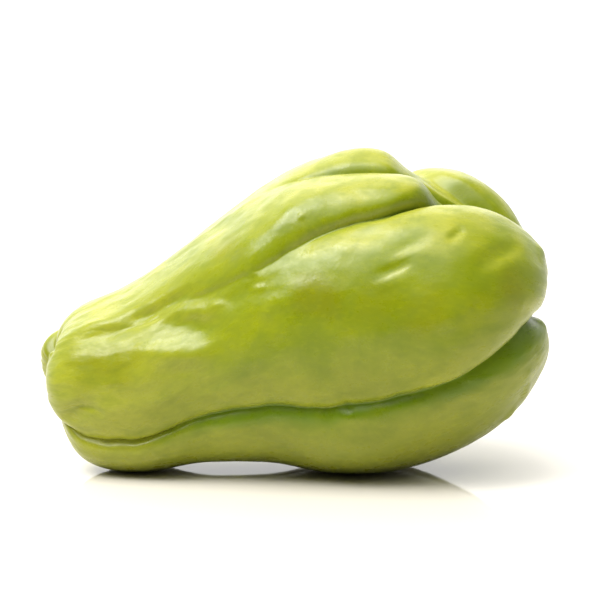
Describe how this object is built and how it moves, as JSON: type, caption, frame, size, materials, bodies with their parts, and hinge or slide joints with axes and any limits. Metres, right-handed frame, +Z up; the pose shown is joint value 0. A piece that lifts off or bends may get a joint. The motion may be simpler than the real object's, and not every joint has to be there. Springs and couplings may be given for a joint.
{
  "type": "chayote squash",
  "caption": "Whole picked chayote lying on its side: a pear-shaped pale green fruit with deep lengthwise furrows, a slit-like mouth at its broad end and a stem scar.",
  "frame": {"origin": "centre of the bounding box's bottom face, on the surface that the fruit lies on", "axes": "+X along the fruit from the stem end to the broad blossom end, +Z up, -Y towards the front, the side with one large lobe"},
  "size_m": [0.146, 0.0868, 0.0918],
  "materials": {
    "chayote_skin": "waxy, softly shining yellow-green fruit skin with fine lengthwise wrinkles and paler streaks"
  },
  "bodies": {
    "root": {"chayote_fruit": "chayote_skin"}
  },
  "joints": []
}
